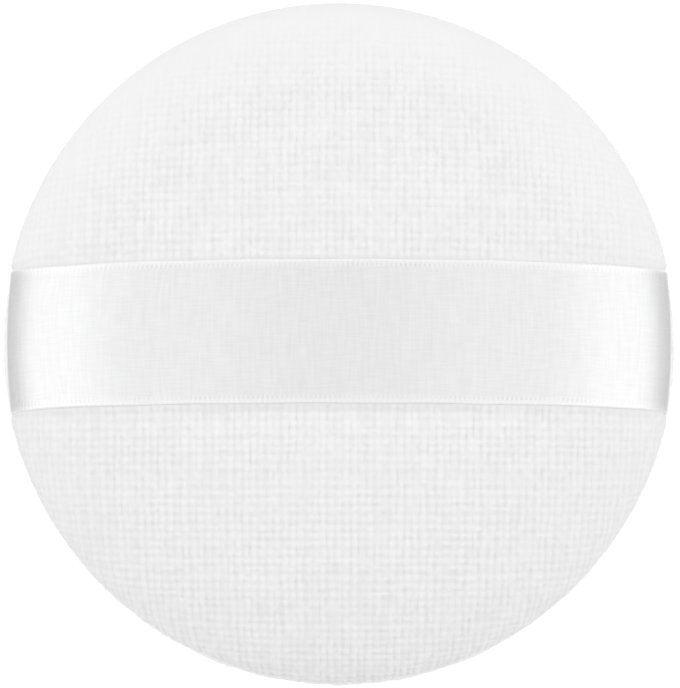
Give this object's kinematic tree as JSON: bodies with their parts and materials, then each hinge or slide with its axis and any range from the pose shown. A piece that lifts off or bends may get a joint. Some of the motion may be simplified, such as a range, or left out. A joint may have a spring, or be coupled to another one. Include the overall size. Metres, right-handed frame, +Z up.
{
  "type": "powder puff",
  "caption": "Round white powder puff with a domed woven cotton back, a plush face, a sponge core and a satin finger ribbon across the back.",
  "frame": {"origin": "middle of the flat that the plush face rests on", "axes": "+Z up from the face to the back, X along the finger ribbon, Y across it"},
  "size_m": [0.0768, 0.078, 0.024],
  "materials": {
    "woven_cotton": "napped plain weave, matte white",
    "plush": "short dense pile, matte white",
    "sponge": "open-cell foam, off-white",
    "satin_ribbon": "double-faced satin, lustrous white",
    "sewing_thread": "spun polyester, white"
  },
  "bodies": {
    "puff": {"back_cover": "woven_cotton", "face_cover": "plush", "sponge_core": "sponge", "ribbon_left_end": "satin_ribbon", "ribbon_right_end": "satin_ribbon", "seam_needle_thread": "sewing_thread", "seam_bobbin_thread": "sewing_thread", "left_ribbon_tack": "sewing_thread", "right_ribbon_tack": "sewing_thread", "closing_stitches": "sewing_thread"},
    "ribbon": {"finger_ribbon": "satin_ribbon"}
  },
  "joints": [
    {"name": "ribbon_lift", "type": "slide", "parent": "puff", "child": "ribbon", "axis": [0, 0, 1], "range_m": [0, 0.008]}
  ]
}
